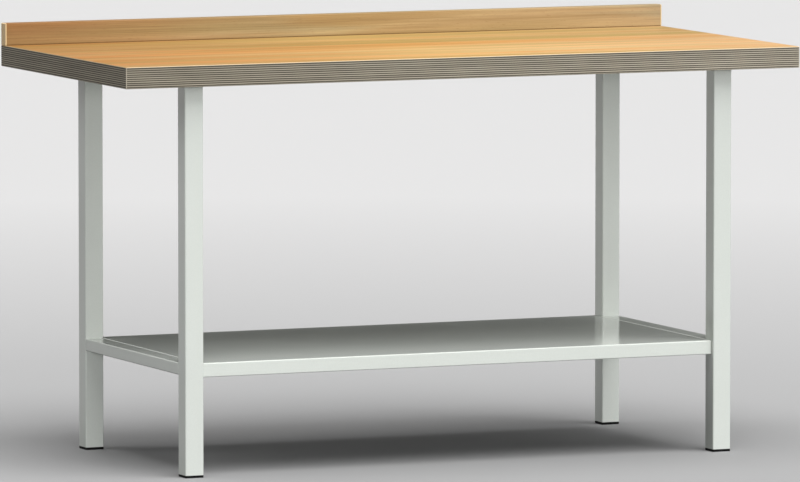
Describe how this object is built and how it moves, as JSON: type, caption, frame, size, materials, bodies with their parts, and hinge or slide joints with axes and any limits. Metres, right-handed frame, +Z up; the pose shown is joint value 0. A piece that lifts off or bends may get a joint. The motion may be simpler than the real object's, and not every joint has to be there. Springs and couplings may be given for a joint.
{
  "type": "assembly table",
  "caption": "Workshop assembly table with a thick laminated wood top and rear upstand on a square-tube steel frame, with a low sheet-steel shelf.",
  "frame": {"origin": "on the floor, under the middle of the worktop", "axes": "+X along the length of the table, to the right as seen from the front; +Y from the front to the upstand; +Z up"},
  "size_m": [1.5, 0.7, 0.886],
  "materials": {
    "multiplex": "lacquered beech face, layered grey-brown edges",
    "grey_paint": "satin powder coat, light grey",
    "shelf_paint": "glossier powder coat, light grey",
    "black_plastic": "moulded, fine texture",
    "zinc_steel": "bright zinc plated"
  },
  "bodies": {
    "root": {"worktop": "multiplex", "upstand": "multiplex", "leg_front_left": "grey_paint", "leg_rear_left": "grey_paint", "leg_front_right": "grey_paint", "leg_rear_right": "grey_paint", "foot_cap_front_left": "black_plastic", "foot_cap_rear_left": "black_plastic", "foot_cap_front_right": "black_plastic", "foot_cap_rear_right": "black_plastic", "end_rail_left": "grey_paint", "end_rail_right": "grey_paint", "top_strip_left": "grey_paint", "top_strip_right": "grey_paint", "shelf": "shelf_paint", "shelf_stiffener_1": "shelf_paint", "shelf_stiffener_2": "shelf_paint", "upstand_screw_1": "zinc_steel", "upstand_screw_2": "zinc_steel", "upstand_screw_3": "zinc_steel", "upstand_screw_4": "zinc_steel", "upstand_screw_5": "zinc_steel", "upstand_screw_6": "zinc_steel", "worktop_screw_left_1": "zinc_steel", "worktop_screw_left_2": "zinc_steel", "worktop_screw_left_3": "zinc_steel", "worktop_screw_left_4": "zinc_steel", "worktop_screw_right_1": "zinc_steel", "worktop_screw_right_2": "zinc_steel", "worktop_screw_right_3": "zinc_steel", "worktop_screw_right_4": "zinc_steel", "shelf_bolt_left_1": "zinc_steel", "shelf_bolt_left_2": "zinc_steel", "shelf_bolt_left_3": "zinc_steel", "shelf_bolt_right_1": "zinc_steel", "shelf_bolt_right_2": "zinc_steel", "shelf_bolt_right_3": "zinc_steel", "shelf_washer_left_1": "zinc_steel", "shelf_washer_left_2": "zinc_steel", "shelf_washer_left_3": "zinc_steel", "shelf_washer_right_1": "zinc_steel", "shelf_washer_right_2": "zinc_steel", "shelf_washer_right_3": "zinc_steel", "rivet_nut_left_1": "zinc_steel", "rivet_nut_left_2": "zinc_steel", "rivet_nut_left_3": "zinc_steel", "rivet_nut_right_1": "zinc_steel", "rivet_nut_right_2": "zinc_steel", "rivet_nut_right_3": "zinc_steel"}
  },
  "joints": []
}
